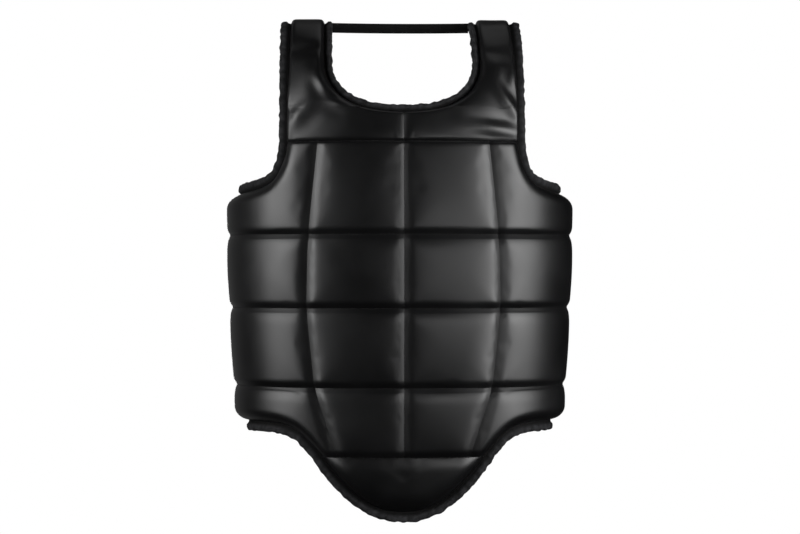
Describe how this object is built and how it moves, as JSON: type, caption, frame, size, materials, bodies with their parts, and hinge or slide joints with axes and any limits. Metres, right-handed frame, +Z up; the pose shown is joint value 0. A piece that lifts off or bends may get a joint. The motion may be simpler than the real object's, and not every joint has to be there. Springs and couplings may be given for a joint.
{
  "type": "body protector",
  "caption": "Quilted padded body protector for contact sports, with shoulder straps on a chest yoke, side panels that wrap round the trunk, a rounded lower flap and bound edges.",
  "frame": {"origin": "midway between the crests of the two shoulder straps, at the height of their undersides, where the protector rests on the shoulders", "axes": "+Z up, +X to the right as seen from the front, and the front faces -Y"},
  "size_m": [0.4212, 0.2509, 0.6016],
  "materials": {
    "padded_leather": "satin black synthetic leather over foam",
    "binding_tape": "matte black woven tape",
    "elastic_webbing": "matte black elastic"
  },
  "bodies": {
    "root": {"front_panel": "padded_leather", "side_panel_right": "padded_leather", "side_panel_left": "padded_leather", "yoke_right": "padded_leather", "yoke_left": "padded_leather", "lower_flap": "padded_leather", "neck_binding": "binding_tape", "armhole_binding_right": "binding_tape", "armhole_binding_left": "binding_tape", "rear_binding_right": "binding_tape", "rear_binding_left": "binding_tape", "hem_binding": "binding_tape", "neck_strap": "elastic_webbing", "back_strap": "elastic_webbing"}
  },
  "joints": []
}
